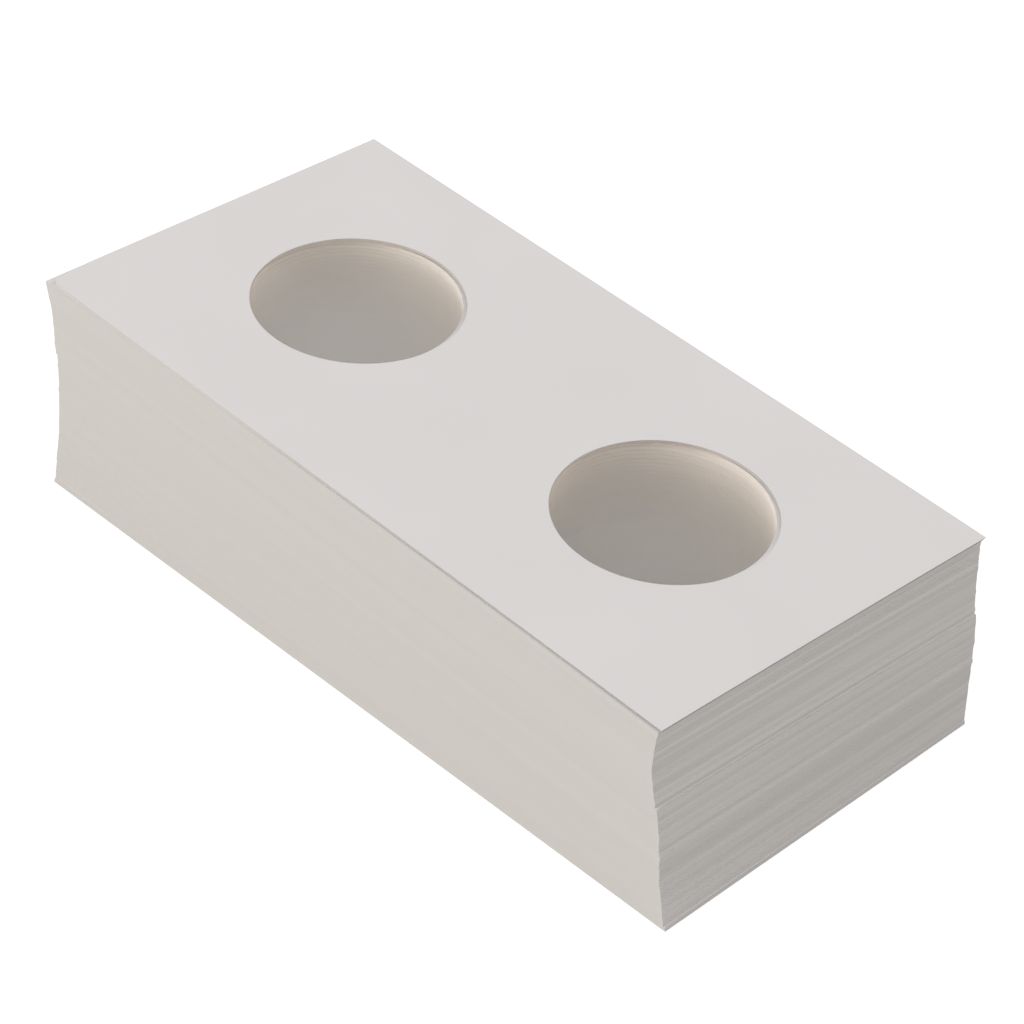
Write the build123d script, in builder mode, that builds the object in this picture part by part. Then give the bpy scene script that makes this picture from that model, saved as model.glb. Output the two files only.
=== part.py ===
from build123d import *
import math
import os

# A pile of unfolded coin flips, lying with their outer faces up. Each flip is a white card of
# two square leaves with a round window in each, scored across its middle so that it folds shut
# around a coin, and a clear film on the lower, inside face of the card.
# X runs along the unfolded flip, Y along the fold, Z up.

# One flip, in millimetres
leaf_length = 50.0
flip_width = 50.0
card_thickness = 0.5
film_thickness = 0.05
film_margin = 0.5
window_diameter = 25.2
window_shift = 0.58
window_sides = 30
score_width = 0.4
score_depth = 0.15

# How many flips lie in each packet, counted from the table
lower_pack_count = 30
upper_pack_count = 15
loose_count = 4

# How the flips lie in the pile: shifts in millimetres, turns in degrees
pile_twist = 2.08
side_bow = 1.46
bow_flip = 21.3
end_lean = 1.50
upper_pack_step = -0.31
fan_count = 7
fan_shift_x = -0.34
fan_shift_y = 0.50
fan_turn = 0.97
top_shift_x = 0.21
top_shift_y = 0.60
top_turn = 0.95
bottom_turn = 0.69
end_jitter = 0.05
side_jitter = 0.02
jitter_step = 1.7

# Values that follow from the sizes above
flip_length = 2 * leaf_length
window_offset = leaf_length / 2
flip_pitch = card_thickness + film_thickness
first_upper = lower_pack_count + 1
first_loose = first_upper + upper_pack_count
top_flip = first_loose + loose_count
LEFT, RIGHT = -1, 1


def uneven(number, phase):
    """A steady but uneven value between -1 and 1 for one flip."""
    return math.sin(number * number * jitter_step + phase)


def raw_lie(number):
    """Shift along X, shift along Y and turn of one flip before the pile is centred."""
    height = (number - 1) / (top_flip - 1)
    shift_x = end_lean * ((1 - height) ** 2 - 1) + end_jitter * uneven(number, 0.0)
    shift_y = -side_bow * ((number - bow_flip) / (top_flip - bow_flip)) ** 2
    shift_y += side_jitter * uneven(number, 1.0)
    turn = pile_twist * (0.5 - height)
    if number >= first_upper:
        shift_x += upper_pack_step
    if number == top_flip:
        shift_x += top_shift_x
        shift_y += top_shift_y
        turn += top_turn
    elif number > top_flip - 1 - fan_count:
        fan_share = 1 - (top_flip - 1 - number) / fan_count
        shift_x += fan_share * fan_shift_x
        shift_y += fan_share * fan_shift_y
        turn += fan_share * fan_turn
    if number == 1:
        turn += bottom_turn
    return shift_x, shift_y, turn


def pile_centre():
    """Middle of the pile's outline, seen from above."""
    across, along = [], []
    for number in range(1, top_flip + 1):
        shift_x, shift_y, turn = raw_lie(number)
        sine = abs(math.sin(math.radians(turn)))
        cosine = math.cos(math.radians(turn))
        half_x = leaf_length * cosine + flip_width / 2 * sine
        half_y = leaf_length * sine + flip_width / 2 * cosine
        along += [shift_x - half_x, shift_x + half_x]
        across += [shift_y - half_y, shift_y + half_y]
    return (min(along) + max(along)) / 2, (min(across) + max(across)) / 2


centre_x, centre_y = pile_centre()


def flip_plane(number, height=0.0):
    """Plane of one flip as it lies in the pile, a height above the lower face of its film."""
    shift_x, shift_y, turn = raw_lie(number)
    origin = (shift_x - centre_x, shift_y - centre_y, (number - 1) * flip_pitch + height)
    x_dir = (math.cos(math.radians(turn)), math.sin(math.radians(turn)), 0)
    return Plane(origin=origin, x_dir=x_dir, z_dir=(0, 0, 1))


def score_plane(number):
    """Upright plane across the fold of one card, with its local Y pointing up."""
    lying = flip_plane(number, film_thickness)
    return Plane(origin=lying.origin, x_dir=lying.x_dir, z_dir=-lying.y_dir)


def score_profile(number):
    """Cross-section of the score in the lower, inside face of a card, along its fold line."""
    with BuildSketch(score_plane(number)) as profile:
        Polygon((-score_width / 2, 0), (score_width / 2, 0), (0, score_depth), align=None)
    return profile.sketch


def film_outline(number):
    """Outline of the clear film of one whole flip, under the inside face of its card."""
    with BuildSketch(flip_plane(number)) as outline:
        Rectangle(flip_length - 2 * film_margin, flip_width - 2 * film_margin)
    return outline.sketch


def write_piece(piece, name):
    """Name a finished piece and write it out."""
    piece.part.label = name
    export_step(piece.part, f"parts/{name}.step")


os.makedirs("parts", exist_ok=True)

# Whole cards of every flip below the top one, their round windows drawn with flats
for number in range(1, top_flip):
    with BuildPart() as card:
        with BuildSketch(flip_plane(number, film_thickness)):
            Rectangle(flip_length, flip_width)
            with Locations((-window_offset, window_shift), (window_offset, window_shift)):
                RegularPolygon(window_diameter / 2, window_sides, mode=Mode.SUBTRACT)
        extrude(amount=card_thickness)
        extrude(score_profile(number), amount=flip_width, both=True, mode=Mode.SUBTRACT)
    write_piece(card, f"card_{number:02d}")

# Films of the two packets, one sheet under each card
with BuildPart() as lower_films:
    for number in range(1, first_upper):
        extrude(film_outline(number), amount=film_thickness)
write_piece(lower_films, "lower_pack_films")

with BuildPart() as upper_films:
    for number in range(first_upper, first_loose):
        extrude(film_outline(number), amount=film_thickness)
write_piece(upper_films, "upper_pack_films")

# Films of the loose flips
for number in range(first_loose, top_flip):
    with BuildPart() as film:
        extrude(film_outline(number), amount=film_thickness)
    write_piece(film, f"film_{number:02d}")

# The top flip, whose two leaves fold along the score: one leaf and one film on each side
for side, name in ((LEFT, "top_front"), (RIGHT, "top_back")):
    with BuildPart() as leaf:
        with BuildSketch(flip_plane(top_flip, film_thickness)):
            with Locations((side * leaf_length / 2, 0)):
                Rectangle(leaf_length, flip_width)
            with Locations((side * window_offset, window_shift)):
                Circle(window_diameter / 2, mode=Mode.SUBTRACT)
        extrude(amount=card_thickness)
        extrude(score_profile(top_flip), amount=flip_width, both=True, mode=Mode.SUBTRACT)
    write_piece(leaf, f"{name}_leaf")

    with BuildPart() as leaf_film:
        with BuildSketch(flip_plane(top_flip)):
            with Locations((side * (leaf_length - film_margin) / 2, 0)):
                Rectangle(leaf_length - film_margin, flip_width - 2 * film_margin)
        extrude(amount=film_thickness)
    write_piece(leaf_film, f"{name}_film")
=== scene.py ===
"""Looks of a loose pile of unfolded coin flips: white cards with round windows, and clear films."""

import math

import bpy
import numpy as np
from mathutils import Matrix, Vector


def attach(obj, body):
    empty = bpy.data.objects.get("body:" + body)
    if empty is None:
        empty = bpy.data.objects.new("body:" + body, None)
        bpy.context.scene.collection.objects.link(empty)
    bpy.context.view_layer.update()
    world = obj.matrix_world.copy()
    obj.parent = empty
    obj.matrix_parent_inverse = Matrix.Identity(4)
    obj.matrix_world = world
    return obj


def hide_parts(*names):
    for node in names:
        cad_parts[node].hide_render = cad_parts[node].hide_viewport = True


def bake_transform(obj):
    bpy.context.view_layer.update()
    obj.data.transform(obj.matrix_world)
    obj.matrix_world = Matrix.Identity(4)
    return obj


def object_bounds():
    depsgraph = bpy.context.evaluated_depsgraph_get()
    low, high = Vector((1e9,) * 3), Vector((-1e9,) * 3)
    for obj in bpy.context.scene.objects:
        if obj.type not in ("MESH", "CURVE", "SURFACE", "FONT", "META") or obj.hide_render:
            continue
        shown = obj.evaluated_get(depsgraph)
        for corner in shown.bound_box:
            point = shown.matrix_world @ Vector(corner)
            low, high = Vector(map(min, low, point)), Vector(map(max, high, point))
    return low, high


MM = 0.001

# Camera, as read from the photograph: angles in degrees, lengths in metres, focal length in pixels
CAMERA_AZIMUTH = 43.352
CAMERA_ELEVATION = 38.095
CAMERA_ROLL = 5.194
CAMERA_DISTANCE = 401.29 * MM
CAMERA_TARGET = (0.435 * MM, 1.575 * MM, 12.0 * MM)
CAMERA_CLIP = 0.01
FOCAL_PIXELS = 3507.0
PICTURE_PIXELS = 1024
SENSOR_WIDTH = 36.0

# Flips, counted from the table
FLIP_COUNT = 50
FIRST_UPPER = 31
FIRST_LOOSE = 46
TOP_LEAVES = ("top_front_leaf", "top_back_leaf")

# One flip
WINDOW_RADIUS = 12.6 * MM
WINDOW_SHIFT = (0, 0.58 * MM)
SCORE_HALF_WIDTH = 0.2 * MM
SCORE_DEPTH = 0.15 * MM
FOLD_FLAT = 0.8 * MM
FILM_MARGIN = 0.5 * MM
FILM_THICKNESS = 0.05 * MM
FILM_CLEARANCE = 0.006 * MM

# How finely a card is meshed, and the kinds of its faces, which number its materials
RIM_STEPS = 96
RING_SHARES = (0.3, 0.65)
FOLD_SIDES = (1, -1)
SAME_POINT = 0.001 * MM
SHARP_ANGLE = math.radians(15)
FACE_KIND, SIDE_KIND, END_KIND, RIM_KIND = range(4)

# Edges of every card, and how far those of the pressed ones reach down to the card below
EDGE_ROUND = 0.01 * MM
EDGE_ROUND_MIDDLE = 0.3 * EDGE_ROUND
EDGE_SUPPORT = 0.2 * MM
NEAR_EDGE = 1.5 * EDGE_ROUND
EDGE_BURR = 0.045 * MM
RIM_BURR = 0.035 * MM

# Edges of the loose top card: raised and undercut, closing to the left, with one worn corner
LOOSE_EDGE = 0.05 * MM
LOOSE_UNDERCUT = np.array((0.2, 0.26)) * MM
LOOSE_RIM_LIFT = 0.12 * MM
LOOSE_RIM_UNDERCUT = 0.3 * MM
UNDERCUT_START = 0.3
UNDERCUT_FULL = 0.8
WORN_CORNER = np.array((0.42, 0.46)) * MM
WORN_CORNER_REACH = 4 * MM

# How unevenly the cards were cut, and how far a cut runs on to that of the card above
END_SHORT = 0.15 * MM
END_SHORT_POWER = 5
END_SHORT_SEED = 0.3
END_WOBBLE = 0.02 * MM
END_WAVELENGTH = 37 * MM
END_SEED = 0.31
SIDE_WOBBLE = 0.005 * MM
SIDE_WAVELENGTH = 43 * MM
SIDE_SEED = 0.57
CUT_SLANT = 0.18 * MM
END_RUN_ON = 0.4
SIDE_RUN_ON = 0.9
RIM_RUN_ON = 0.75

# Uneven values and curves
SEED_FACTOR = 12.9898
SEED_SHIFT = 4.1414
SEED_SPREAD = 43758.5453
WAVE_MIDDLE = 0.5
SLOW_WAVE = 0.3
QUICK_WAVE = 0.2
QUICK_RATE = 2.3
QUICK_SEED = 0.5

# How the flips settle on each other, and drop at the two corners of the right end
SETTLE_REACH = 3
BOTTOM_FAN = 12
BOTTOM_SHARE = 0.8
FAR_CORNER_DROP = 0.3 * MM
NEAR_CORNER_DROP = 0.15 * MM
DROP_POWER_ALONG = 4
DROP_POWER_ACROSS = 2
PRESSED_DROP = 1.0
LOOSE_DROP = 0.5

# Looks: noise scales in cycles per millimetre, linear colours
TONE_RAMP = (0.3, 0.7)
FACE_CLOUD = (0.05, 0.05, 0.05)
FACE_DARK = (0.653, 0.630, 0.624)
FACE_LIGHT = (0.671, 0.648, 0.642)
FACE_TOOTH = (3.0, 3.0, 3.0)
FACE_TOOTH_DETAIL = 4.0
FACE_TOOTH_STRENGTH = 0.25
FACE_TOOTH_DEPTH = 0.01 * MM
FACE_ROUGHNESS = (0.52, 0.66)
FACE_SPECULAR = 0.35
EDGE_FIBRE = (0.5, 0.5, 12.0)
EDGE_FIBRE_DEPTH = 0.02 * MM
EDGE_DETAIL = 3.0
EDGE_ROUGHNESS = 0.85
EDGE_SPECULAR = 0.2
FILM_CLOUD = (0.08, 0.08, 0.08)
FILM_HAZE = (0.011, 0.017)
FILM_CLEAR = (0.9970, 0.9970, 0.9962, 1)
FILM_MILK = (0.86, 0.79, 0.72, 1)
FILM_ROUGHNESS = 0.06
FILM_SHINE = (0.02, 1.0)
FILM_SHINE_POWER = 5.0
WHITE = (1, 1, 1, 1)

# Floor, room and light paths: lengths in metres, and directions from which the room's light comes
FLOOR_HALF = 6.0
FLOOR_GAP = 0.02 * MM
FLOOR_GRAIN = (0.02, 0.02, 0.02)
FLOOR_DARK = (0.46, 0.46, 0.455)
FLOOR_LIGHT = (0.48, 0.48, 0.475)
FLOOR_GLOW = 0.70
ROOM_COLOUR = (1.0, 0.992, 0.985, 1)
ROOM_FRONT = (0.78, -0.55, 0.30)
ROOM_LEVELS = (0.29, 0.87)
WALL_PLACE = (-0.95, 0.10, 0.30)
WALL_EDGE = (0.70, 0.86)
WALL_LEVEL = 0.22
LAMP_AIM = (0, 0, 0.01)
FACES_PER_FILM = 2
SPARE_PASSES = 20
MAX_BOUNCES = 32
GLOSSY_BOUNCES = 24

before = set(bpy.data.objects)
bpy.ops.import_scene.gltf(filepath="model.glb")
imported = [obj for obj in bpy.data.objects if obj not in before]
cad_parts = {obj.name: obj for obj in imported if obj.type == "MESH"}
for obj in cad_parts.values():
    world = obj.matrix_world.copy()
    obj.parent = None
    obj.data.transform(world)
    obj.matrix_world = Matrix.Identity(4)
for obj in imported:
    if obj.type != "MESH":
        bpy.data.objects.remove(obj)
cad_low, cad_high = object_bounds()


# Where each flip lies, read from the frame
def lie_of(*names, settling=PRESSED_DROP):
    """Where a flat rectangle of one or more CAD pieces lies, and its share of the corners' drop."""
    points = np.array([v.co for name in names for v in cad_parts[name].data.vertices])
    near_left = points[np.argmin(points @ (1, 1, 0))]
    near_right = points[np.argmin(points @ (-1, 1, 0))]
    far_right = points[np.argmax(points @ (1, 1, 0))]
    along = (near_right - near_left)[:2]
    across = (far_right - near_right)[:2]
    return {
        "centre": ((near_left + far_right) / 2)[:2],
        "turn": math.atan2(along[1], along[0]),
        "length": float(np.hypot(*along)),
        "width": float(np.hypot(*across)),
        "low": float(points[:, 2].min()),
        "high": float(points[:, 2].max()),
        "settling": settling,
    }


lies = {number: lie_of(f"card_{number:02d}") for number in range(1, FLIP_COUNT)}
lies[FLIP_COUNT] = lie_of(*TOP_LEAVES, settling=LOOSE_DROP)


def settled(first, last):
    """Lies of the flips of one packet, evened out with their neighbours as pressed cards settle."""
    evened = {}
    for number in range(first, last + 1):
        reach = min(SETTLE_REACH, number - first, last - number)
        near = [lies[other] for other in range(number - reach, number + reach + 1)]
        means = {key: np.mean([lie[key] for lie in near], axis=0) for key in ("centre", "turn")}
        evened[number] = {**lies[number], **means}
    return evened


# The bottom flip lies as it is, and the lowest flips above it fan out towards it
lies.update({**settled(2, FIRST_UPPER - 1), **settled(FIRST_UPPER, FLIP_COUNT - 1)})
bottom_turn = BOTTOM_SHARE * (lies[1]["turn"] - lies[2]["turn"])
for number in range(2, BOTTOM_FAN):
    lies[number]["turn"] += bottom_turn * (1 - (number - 1) / BOTTOM_FAN)

card_length = lies[1]["length"]
card_width = lies[1]["width"]
card_thickness = lies[1]["high"] - lies[1]["low"]
pile_height = lies[FLIP_COUNT]["high"]


def into_pile(points, lie):
    """Local points of a flip, moved to where it lies: raised, settled, turned and shifted."""
    cosine, sine = math.cos(lie["turn"]), math.sin(lie["turn"])
    x = lie["centre"][0] + points[:, 0] * cosine - points[:, 1] * sine
    y = lie["centre"][1] + points[:, 0] * sine + points[:, 1] * cosine
    at_end = np.clip(points[:, 0] / (card_length / 2), 0, 1) ** DROP_POWER_ALONG
    at_side = (points[:, 1] / (card_width / 2)) ** DROP_POWER_ACROSS
    drop = at_end * at_side * np.where(points[:, 1] > 0, FAR_CORNER_DROP, NEAR_CORNER_DROP)
    z = (points[:, 2] + lie["low"]) * (1 - lie["settling"] * drop / pile_height)
    return np.c_[x, y, z]


# Materials
def new_material(name):
    """An empty node material, its tree and its output node."""
    material = bpy.data.materials.new(name)
    material.use_nodes = True
    tree = material.node_tree
    tree.nodes.clear()
    output = tree.nodes.new("ShaderNodeOutputMaterial")
    return material, tree, output


def set_input(tree, socket, value):
    """Set an input to a value, or join it to another node's output."""
    if isinstance(value, bpy.types.NodeSocket):
        tree.links.new(value, socket)
    else:
        socket.default_value = value


def add_node(tree, kind, *in_order, settings=None, **by_name):
    """A node with its properties set, and its inputs set in their order or by their names."""
    node = tree.nodes.new(kind)
    for key, value in (settings or {}).items():
        setattr(node, key, value)
    for socket, value in zip(node.inputs, in_order):
        set_input(tree, socket, value)
    for key, value in by_name.items():
        set_input(tree, node.inputs[key.replace("_", " ")], value)
    return node


def calculated(tree, operation, first, second, kind="ShaderNodeMath"):
    """The value of a sum or another operation on two inputs."""
    node = add_node(tree, kind, first, second, settings={"operation": operation})
    return node.outputs["Value"]


def mapped(tree, value, to_range, from_range=(0.0, 1.0), interpolation="LINEAR"):
    """A value carried over from one range to another."""
    node = add_node(tree, "ShaderNodeMapRange", settings={"interpolation_type": interpolation},
                    Value=value, From_Min=from_range[0], From_Max=from_range[1],
                    To_Min=to_range[0], To_Max=to_range[1])
    return node.outputs["Result"]


def mix_shaders(tree, share, first, second):
    """A mix of two shaders; share is the second one's part."""
    return add_node(tree, "ShaderNodeMixShader", share, first, second).outputs["Shader"]


def stretched_noise(tree, scale, detail=2.0):
    """Noise in the part's frame, with a scale along each axis in cycles per millimetre."""
    place = add_node(tree, "ShaderNodeTexCoord").outputs["Object"]
    scaled = add_node(tree, "ShaderNodeMapping", Vector=place, Scale=[s / MM for s in scale])
    noise = add_node(tree, "ShaderNodeTexNoise", Vector=scaled.outputs["Vector"],
                     Scale=1.0, Detail=detail)
    return noise.outputs["Fac"]


def colour_between(tree, share, low, high):
    """A colour between two others, driven by a noise value."""
    ramp = add_node(tree, "ShaderNodeValToRGB", Fac=share)
    for element, position, colour in zip(ramp.color_ramp.elements, TONE_RAMP, (low, high)):
        element.position = position
        element.color = (*colour, 1)
    return ramp.outputs["Color"]


def make_face_material():
    """Smooth white coated board: slight clouding and a fine paper tooth."""
    material, tree, output = new_material("coated_white_board")
    cloud = stretched_noise(tree, FACE_CLOUD)
    tooth = stretched_noise(tree, FACE_TOOTH, FACE_TOOTH_DETAIL)
    bump = add_node(tree, "ShaderNodeBump", Strength=FACE_TOOTH_STRENGTH,
                    Distance=FACE_TOOTH_DEPTH, Height=tooth)
    shader = add_node(tree, "ShaderNodeBsdfPrincipled",
                      Base_Color=colour_between(tree, cloud, FACE_DARK, FACE_LIGHT),
                      Roughness=mapped(tree, tooth, FACE_ROUGHNESS),
                      Specular_IOR_Level=FACE_SPECULAR, Normal=bump.outputs["Normal"])
    tree.links.new(shader.outputs["BSDF"], output.inputs["Surface"])
    return material


def make_edge_material(name, layers, dark, light, grain, own_tone=0.0):
    """Cut edge of the board, its tone changing with height, and from card to card with own_tone."""
    material, tree, output = new_material(name)
    tone = stretched_noise(tree, layers, EDGE_DETAIL)
    if own_tone:
        lowest = (1 - own_tone) / 2
        chance = add_node(tree, "ShaderNodeObjectInfo").outputs["Random"]
        own = mapped(tree, chance, (lowest, 1 - lowest))
        both = calculated(tree, "ADD", tone, own)
        tone = mapped(tree, both, (0.0, 1.0), from_range=(0.0, 2.0))
    fibre = stretched_noise(tree, EDGE_FIBRE, EDGE_DETAIL)
    bump = add_node(tree, "ShaderNodeBump", Strength=grain, Distance=EDGE_FIBRE_DEPTH, Height=fibre)
    shader = add_node(tree, "ShaderNodeBsdfPrincipled",
                      Base_Color=colour_between(tree, tone, dark, light), Roughness=EDGE_ROUGHNESS,
                      Specular_IOR_Level=EDGE_SPECULAR, Normal=bump.outputs["Normal"])
    tree.links.new(shader.outputs["BSDF"], output.inputs["Surface"])
    return material


def make_film_material():
    """Clear polyester film: see-through, glossy at a slant, with a faint haze."""
    material, tree, output = new_material("clear_polyester_film")
    haze = mapped(tree, stretched_noise(tree, FILM_CLOUD), FILM_HAZE)
    clear = add_node(tree, "ShaderNodeBsdfTransparent", Color=FILM_CLEAR)
    milk = add_node(tree, "ShaderNodeBsdfDiffuse", Color=FILM_MILK)
    gloss = add_node(tree, "ShaderNodeBsdfGlossy", Color=WHITE, Roughness=FILM_ROUGHNESS)
    hazy = mix_shaders(tree, haze, clear.outputs["BSDF"], milk.outputs["BSDF"])
    slant = add_node(tree, "ShaderNodeLayerWeight", Blend=0.5).outputs["Facing"]
    shine = mapped(tree, calculated(tree, "POWER", slant, FILM_SHINE_POWER), FILM_SHINE)
    surface = mix_shaders(tree, shine, hazy, gloss.outputs["BSDF"])
    tree.links.new(surface, output.inputs["Surface"])
    return material


FACE = make_face_material()
SIDE = make_edge_material("trimmed_long_edge", layers=(0.01, 0.01, 0.9), grain=0.02,
                          dark=(0.690, 0.660, 0.619), light=(0.710, 0.681, 0.639))
END = make_edge_material("cut_end_edge", layers=(0.02, 0.02, 1.4), grain=0.06, own_tone=0.7,
                         dark=(0.588, 0.563, 0.541), light=(0.682, 0.656, 0.633))
RIM = make_edge_material("punched_window_rim", layers=(0.03, 0.03, 1.4), grain=0.15,
                         dark=(0.888, 0.794, 0.709), light=(0.938, 0.853, 0.774))
# Painted shade: the top card's end edges are coloured dark to stand in for the shadow line under
# its raised, overhanging end
PAINTED_SHADE_END = make_edge_material("end_edge_painted_shade", layers=(0.1, 0.1, 0.1), grain=0.06,
                              dark=(0.37, 0.35, 0.33), light=(0.43, 0.41, 0.39))
# Painted shade: the top card's window rims are coloured dark to stand in for the shadow under its
# overhanging rim
PAINTED_SHADE_RIM = make_edge_material("window_rim_painted_shade", layers=(0.1, 0.1, 0.1), grain=0.06,
                              dark=(0.48, 0.44, 0.40), light=(0.56, 0.52, 0.48))
FILM = make_film_material()
CARD_MATERIALS = (FACE, SIDE, END, RIM)
# The loose top card's end and rim materials are painted shade
LOOSE_MATERIALS = (FACE, SIDE, PAINTED_SHADE_END, PAINTED_SHADE_RIM)


# The card: one closed sheet of two leaves, each meshed in rings around its window
def leaf_outline(half_length, half_width, fold_side):
    """Points round a leaf's outline by equal angles from its middle, and the sides they are on."""
    angles = np.arange(RIM_STEPS) * 2 * math.pi / RIM_STEPS
    around = np.c_[np.cos(angles), np.sin(angles)]
    reach = np.abs(around) / (half_length, half_width)
    outline = around / reach.max(1)[:, None]
    at_end = np.isclose(np.abs(outline[:, 0]), half_length)
    at_side = np.isclose(np.abs(outline[:, 1]), half_width)
    at_fold = np.isclose(outline[:, 0], fold_side * half_length)
    return around, outline, at_end, at_side, at_fold


def leaf_loops(half_length, half_width, thickness, fold_side, edge_form):
    """Loops over the top of a leaf, round its outer edge, back underneath and up its window."""
    burr, undercut, rim_burr, rim_undercut = edge_form
    around, outline, at_end, at_side, at_fold = leaf_outline(half_length, half_width, fold_side)
    inward = -np.sign(outline)
    cut_in = inward * np.c_[at_end & ~at_fold, at_side]
    flat_in = inward * np.c_[at_end, at_side]
    beside_edge = EDGE_ROUND + EDGE_SUPPORT
    near_step = np.c_[np.where(at_fold, SCORE_HALF_WIDTH, beside_edge),
                      np.full(RIM_STEPS, beside_edge)]

    # Rings on the upper face, from the window outwards, and those on the lower face
    rim = WINDOW_SHIFT + around * WINDOW_RADIUS
    near_rim = rim + around * beside_edge
    inner_outline = outline + flat_in * FOLD_FLAT
    flat = [rim + around * EDGE_ROUND, near_rim]
    flat += [near_rim + (inner_outline - near_rim) * share for share in RING_SHARES]
    flat += [inner_outline, outline + flat_in * near_step]
    under = flat.copy()
    under[1] = near_rim + around * rim_undercut
    under[-1] = flat[-1] + flat_in * np.c_[~at_fold, at_side] * undercut

    # A rounded edge in three steps, each with its inset and its drop
    edge_steps = ((EDGE_ROUND, 0.0), (EDGE_ROUND_MIDDLE, EDGE_ROUND_MIDDLE), (0.0, EDGE_ROUND))
    score = np.where(at_fold & ~at_side, SCORE_DEPTH, -burr)
    top = np.full(RIM_STEPS, thickness)
    base = np.zeros(RIM_STEPS)
    loops = [(ring, top, FACE_KIND) for ring in flat]
    loops += [(outline + cut_in * inset, top - drop, SIDE_KIND) for inset, drop in edge_steps]
    loops += [(outline + cut_in * (inset + undercut), score + drop, SIDE_KIND)
              for inset, drop in reversed(edge_steps)]
    loops[-1] = (*loops[-1][:2], FACE_KIND)
    loops += [(ring, base, FACE_KIND) for ring in reversed(under)]
    loops[-1] = (flat[0], base - rim_burr, RIM_KIND)
    loops += [(rim + around * inset, base + (drop - rim_burr), RIM_KIND)
              for inset, drop in edge_steps[1:]]
    loops += [(rim + around * inset, top - drop, RIM_KIND)
              for inset, drop in reversed(edge_steps[1:])]
    return [(np.c_[ring, height], kind) for ring, height, kind in loops], at_end & ~at_fold, at_fold


def card_template(length, width, thickness, edge_form):
    """Points, faces and face kinds of a card, centred on its fold, its lower face at height 0."""
    points, faces, kinds, places = [], [], [], {}

    def index_of(point):
        key = tuple(np.round(point / SAME_POINT).astype(int))
        if key not in places:
            places[key] = len(points)
            points.append(point)
        return places[key]

    half_leaf = length / 4
    for fold_side in FOLD_SIDES:
        loops, at_end, at_fold = leaf_loops(half_leaf, width / 2, thickness, fold_side, edge_form)
        middle = np.array((-fold_side * half_leaf, 0, 0))
        for level, (loop, kind) in enumerate(loops):
            following = loops[(level + 1) % len(loops)][0]
            for step in range(RIM_STEPS):
                beside = (step + 1) % RIM_STEPS
                if kind == SIDE_KIND and at_fold[step] and at_fold[beside]:
                    continue
                corners = (loop[step], following[step], following[beside], loop[beside])
                face = list(dict.fromkeys(index_of(corner + middle) for corner in corners))
                if len(face) > 2:
                    is_end = kind == SIDE_KIND and at_end[step] and at_end[beside]
                    faces.append(face)
                    kinds.append(END_KIND if is_end else kind)
    return np.array(points), faces, kinds


def uneven(seed):
    """A steady but uneven value between 0 and 1 for a seed."""
    value = np.sin(seed * SEED_FACTOR + SEED_SHIFT) * SEED_SPREAD
    return value - np.floor(value)


def wavy(position, seed, wavelength):
    """A smooth uneven curve along an edge, between 0 and 1, different for each seed."""
    slow_turns = position / wavelength + uneven(seed)
    quick_turns = QUICK_RATE * position / wavelength + uneven(seed + QUICK_SEED)
    slow = np.sin(2 * math.pi * slow_turns)
    quick = np.sin(2 * math.pi * quick_turns)
    return WAVE_MIDDLE + SLOW_WAVE * slow + QUICK_WAVE * quick


def cut_back(points, number):
    """How far the ends and long sides of a card are cut back from its outline, at its points."""
    end_side, long_side = np.sign(points[:, 0]), np.sign(points[:, 1])
    short = END_SHORT * (1 - uneven(number + END_SHORT_SEED * end_side) ** END_SHORT_POWER)
    end_wave = wavy(points[:, 1], number + END_SEED * end_side, END_WAVELENGTH)
    side_wave = wavy(points[:, 0], number + SIDE_SEED * long_side, SIDE_WAVELENGTH)
    return end_side * (short + END_WOBBLE * end_wave), long_side * (SIDE_WOBBLE * side_wave)


def run_on(points, number, high, at_end, at_side):
    """How far the upper edges and rims of a pressed card slant towards those of the card above."""
    lie, above = lies[number], lies[number + 1]
    shift = above["centre"] - lie["centre"]
    turn = above["turn"] - lie["turn"]
    cosine, sine = math.cos(lie["turn"]), math.sin(lie["turn"])
    along, across = shift @ (cosine, sine), shift @ (-sine, cosine)

    end_cut, side_cut = cut_back(points, number)
    end_above, side_above = cut_back(points, number + 1)
    end_step = along - turn * points[:, 1] + end_cut - end_above
    side_step = across + turn * points[:, 0] + side_cut - side_above
    end_slant = END_RUN_ON * np.clip(end_step, -CUT_SLANT, CUT_SLANT)
    side_slant = SIDE_RUN_ON * np.clip(side_step, -CUT_SLANT, CUT_SLANT)
    slant = np.c_[np.where(at_end & high, end_slant, 0), np.where(at_side & high, side_slant, 0)]

    for fold_side in FOLD_SIDES:
        window = np.array((-fold_side * card_length / 4, 0)) + WINDOW_SHIFT
        rim_step = np.array((along - turn * window[1], across + turn * window[0]))
        from_rim = np.hypot(*(points[:, :2] - window).T) - WINDOW_RADIUS
        on_rim = high & (np.abs(from_rim) < NEAR_EDGE)
        slant += np.where(on_rim[:, None], RIM_RUN_ON * rim_step, 0)
    return slant


def handle_loose(moved, points, low_side):
    """Press the top card's long edges shut towards its left end, and wear its near left corner."""
    along = points[:, 0] / card_length + 0.5
    undercut = (along - UNDERCUT_START) / (UNDERCUT_FULL - UNDERCUT_START)
    pressed = np.where(low_side, 1 - np.clip(undercut, 0, 1), 0)
    moved[:, 1] += pressed * LOOSE_UNDERCUT[1] * np.sign(points[:, 1])
    moved[:, 2] -= pressed * (LOOSE_EDGE + EDGE_BURR)
    from_corner = np.hypot(points[:, 0] + card_length / 2, points[:, 1] + card_width / 2)
    moved[:, :2] += np.clip(1 - from_corner / WORN_CORNER_REACH, 0, 1)[:, None] * WORN_CORNER


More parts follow.
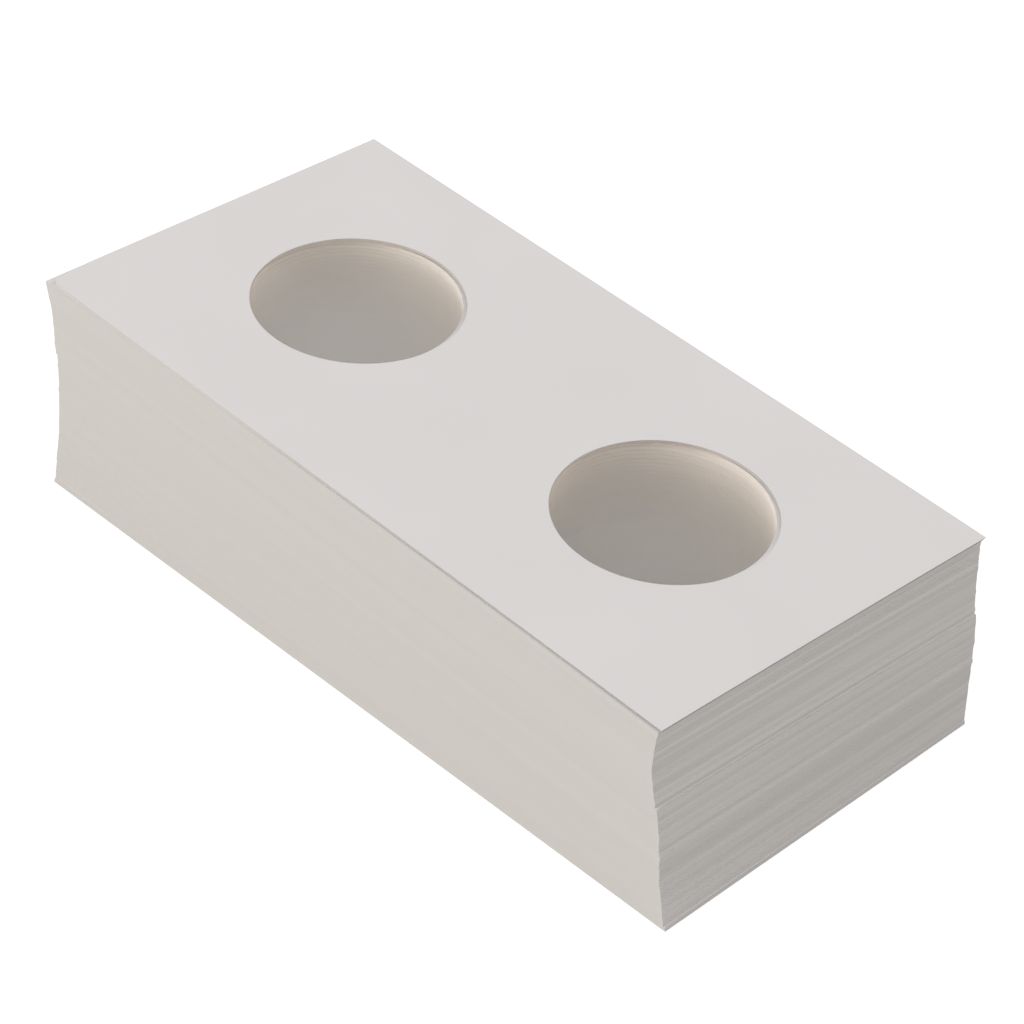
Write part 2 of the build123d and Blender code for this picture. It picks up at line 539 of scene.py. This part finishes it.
def unevenly_cut(points, number):
    """Points of a card as its cut and use left it: a little short and wavy, its edges slanting."""
    moved = points.copy()
    loose = number == FLIP_COUNT
    low = points[:, 2] < card_thickness / 2
    inset = (card_length / 2, card_width / 2) - np.abs(points[:, :2])
    if loose:
        inset[low] -= LOOSE_UNDERCUT
    at_end, at_side = (np.abs(inset) < NEAR_EDGE).T
    end_cut, side_cut = cut_back(points, number)
    moved[:, 0] -= np.where(at_end, end_cut, 0)
    moved[:, 1] -= np.where(at_side, side_cut, 0)
    if number < FLIP_COUNT - 1:
        moved[:, :2] += run_on(points, number, ~low, at_end, at_side)
    if loose:
        handle_loose(moved, points, at_side & low)
    return moved


def new_piece(name, points, faces, materials, kinds=None):
    """A mesh piece in the part's frame, smooth shaded, with a material for each kind of face."""
    mesh = bpy.data.meshes.new(name)
    mesh.from_pydata(points.tolist(), [], faces)
    for material in materials:
        mesh.materials.append(material)
    if kinds:
        mesh.polygons.foreach_set("material_index", kinds)
    mesh.polygons.foreach_set("use_smooth", [True] * len(mesh.polygons))
    mesh.set_sharp_from_angle(angle=SHARP_ANGLE)
    mesh.update()
    piece = bpy.data.objects.new(name, mesh)
    bpy.context.scene.collection.objects.link(piece)
    return piece


def film_box(lie):
    """Points and faces of a film: a thin sheet under its card, just inside the card's outline."""
    half_x = lie["length"] / 2 - FILM_MARGIN
    half_y = lie["width"] / 2 - FILM_MARGIN
    columns = (-half_x, -FOLD_FLAT, 0, FOLD_FLAT, half_x)
    rows = (-half_y, half_y)
    levels = (FILM_CLEARANCE - FILM_THICKNESS, -FILM_CLEARANCE)
    points = np.array([(x, y, z) for z in levels for y in rows for x in columns])

    # Numbers of the first points of the four long edges
    near_low, far_low, near_high, far_high = (edge * len(columns) for edge in range(4))
    last = len(columns) - 1
    faces = [(near_low, far_low, far_high, near_high),
             (near_low + last, near_high + last, far_high + last, far_low + last)]
    for left in range(last):
        right = left + 1
        faces.append((near_low + left, far_low + left, far_low + right, near_low + right))
        faces.append((near_high + left, near_high + right, far_high + right, far_high + left))
        faces.append((near_low + left, near_low + right, near_high + right, near_high + left))
        faces.append((far_low + left, far_high + left, far_high + right, far_low + right))
    return into_pile(points, lie), faces


def joined(boxes):
    """Several separate shells as one list of points and one of faces."""
    points, faces, start = [], [], 0
    for box_points, box_faces in boxes:
        points.append(box_points)
        faces += [tuple(start + corner for corner in face) for face in box_faces]
        start += len(box_points)
    return np.concatenate(points), faces


def body_of_flip(number):
    """The body that a flip below the top one moves with."""
    if number < FIRST_UPPER:
        return "lower_pack"
    if number < FIRST_LOOSE:
        return "upper_pack"
    return f"flip_{number:02d}"


# Pressed cards close up at their edges; the top one lies loose, with a fine gap under its edge
PRESSED_EDGES = (EDGE_BURR, 0.0, RIM_BURR, 0.0)
LOOSE_EDGES = (-LOOSE_EDGE, LOOSE_UNDERCUT, -LOOSE_RIM_LIFT, LOOSE_RIM_UNDERCUT)
pressed_card = card_template(card_length, card_width, card_thickness, PRESSED_EDGES)
loose_card = card_template(card_length, card_width, card_thickness, LOOSE_EDGES)


def level_cut_faces(mesh):
    """Shade the slanting cuts of a pressed card as upright ones."""
    normals = np.zeros((len(mesh.loops), 3))
    for polygon in mesh.polygons:
        if polygon.material_index in (SIDE_KIND, END_KIND):
            upright = (*polygon.normal.xy.normalized(), 0)
            normals[polygon.loop_start:polygon.loop_start + polygon.loop_total] = upright
    mesh.normals_split_custom_set(normals.tolist())


def make_card(number, name):
    """The card of one flip, where it lies."""
    loose = number == FLIP_COUNT
    points, faces, kinds = loose_card if loose else pressed_card
    points = into_pile(unevenly_cut(points, number), lies[number])
    card = new_piece(name, points, faces, LOOSE_MATERIALS if loose else CARD_MATERIALS, kinds)
    if not loose:
        level_cut_faces(card.data)
    return card


def make_films(name, numbers):
    """The films of one or more flips, as one piece."""
    points, faces = joined([film_box(lies[number]) for number in numbers])
    films = new_piece(name, points, faces, (FILM,))
    return films


for number in range(1, FLIP_COUNT):
    card = make_card(number, f"flip_card_{number:02d}")
    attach(card, body_of_flip(number))
    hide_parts(f"card_{number:02d}")

lower_films = make_films("flip_films_lower", range(1, FIRST_UPPER))
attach(lower_films, "lower_pack")
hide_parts("lower_pack_films")

upper_films = make_films("flip_films_upper", range(FIRST_UPPER, FIRST_LOOSE))
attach(upper_films, "upper_pack")
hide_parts("upper_pack_films")

for number in range(FIRST_LOOSE, FLIP_COUNT):
    film = make_films(f"flip_film_{number:02d}", [number])
    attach(film, body_of_flip(number))
    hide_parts(f"film_{number:02d}")

top_card = make_card(FLIP_COUNT, "flip_card_top")
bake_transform(top_card)
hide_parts(*TOP_LEAVES)

top_film = make_films("flip_film_top", [FLIP_COUNT])
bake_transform(top_film)
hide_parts("top_front_film", "top_back_film")


# Stage, light and camera
def make_floor():
    """A wide pale floor that the camera sees as white, apart from the pile's own shadow."""
    material, tree, output = new_material("pale_floor")
    rays = add_node(tree, "ShaderNodeLightPath").outputs
    mirrored = calculated(tree, "MAXIMUM", rays["Is Glossy Ray"], rays["Is Transmission Ray"])
    seen = calculated(tree, "MAXIMUM", rays["Is Camera Ray"], mirrored)
    tone = colour_between(tree, stretched_noise(tree, FLOOR_GRAIN), FLOOR_DARK, FLOOR_LIGHT)
    matt = add_node(tree, "ShaderNodeBsdfDiffuse", Color=tone)
    glow = mapped(tree, seen, (0.0, FLOOR_GLOW))
    white = add_node(tree, "ShaderNodeEmission", Color=WHITE, Strength=glow)
    both = add_node(tree, "ShaderNodeAddShader", matt.outputs["BSDF"], white.outputs["Emission"])
    tree.links.new(both.outputs["Shader"], output.inputs["Surface"])

    corners = ((-1, -1, 0), (1, -1, 0), (1, 1, 0), (-1, 1, 0))
    floor = new_piece("floor", np.array(corners) * FLOOR_HALF, [(0, 1, 2, 3)], (material,))
    floor.location.z = cad_low.z - FLOOR_GAP


def make_world():
    """Pale light from all round, stronger from the front right, and a pale wall at the left."""
    world = bpy.data.worlds.new("soft_room")
    world.use_nodes = True
    tree = world.node_tree
    way = add_node(tree, "ShaderNodeTexCoord").outputs["Generated"]
    front = calculated(tree, "DOT_PRODUCT", way, ROOM_FRONT, kind="ShaderNodeVectorMath")
    room = mapped(tree, front, ROOM_LEVELS, from_range=(-1.0, 1.0))
    left = calculated(tree, "DOT_PRODUCT", way, WALL_PLACE, kind="ShaderNodeVectorMath")
    wall = mapped(tree, left, (0.0, WALL_LEVEL), from_range=WALL_EDGE, interpolation="SMOOTHSTEP")
    background = tree.nodes["Background"]
    background.inputs["Color"].default_value = ROOM_COLOUR
    tree.links.new(calculated(tree, "ADD", room, wall), background.inputs["Strength"])
    bpy.context.scene.world = world


def make_lamp(name, place, size, power):
    """A square soft lamp that shines from its place on the pile."""
    data = bpy.data.lights.new(name, "AREA")
    data.size = size
    data.energy = power
    lamp = bpy.data.objects.new(name, data)
    bpy.context.scene.collection.objects.link(lamp)
    away = (Vector(place) - Vector(LAMP_AIM)).normalized()
    turn = away.to_track_quat("Z", "Y").to_matrix()
    lamp.matrix_world = Matrix.Translation(place) @ turn.to_4x4()


def make_camera():
    """The photograph's camera: turned round the pile, raised, and rolled a little."""
    azimuth, elevation = math.radians(CAMERA_AZIMUTH), math.radians(CAMERA_ELEVATION)
    back = Vector((math.sin(azimuth) * math.cos(elevation),
                   -math.cos(azimuth) * math.cos(elevation),
                   math.sin(elevation)))
    right = Vector((0, 0, 1)).cross(back).normalized()
    up = back.cross(right)
    roll = Matrix.Rotation(math.radians(CAMERA_ROLL), 3, "Z")
    turn = Matrix((right, up, back)).transposed() @ roll
    data = bpy.data.cameras.new("photo_camera")
    data.sensor_width = SENSOR_WIDTH
    data.lens = FOCAL_PIXELS / PICTURE_PIXELS * SENSOR_WIDTH
    data.clip_start = CAMERA_CLIP
    camera = bpy.data.objects.new("photo_camera", data)
    bpy.context.scene.collection.objects.link(camera)
    place = Vector(CAMERA_TARGET) + back * CAMERA_DISTANCE
    camera.matrix_world = Matrix.Translation(place) @ turn.to_4x4()
    bpy.context.scene.camera = camera


make_floor()
make_world()
make_lamp("key", place=(-0.65, -1.0, 0.92), size=0.9, power=10.5)
make_lamp("fill", place=(0.30, 0.95, 0.75), size=0.5, power=3.4)
make_camera()

scene = bpy.context.scene
scene.view_settings.view_transform = "Standard"
# Sight down a window passes two faces of every film, and light is mirrored between the films
scene.cycles.transparent_max_bounces = FACES_PER_FILM * FLIP_COUNT + SPARE_PASSES
scene.cycles.max_bounces = MAX_BOUNCES
scene.cycles.glossy_bounces = GLOSSY_BOUNCES
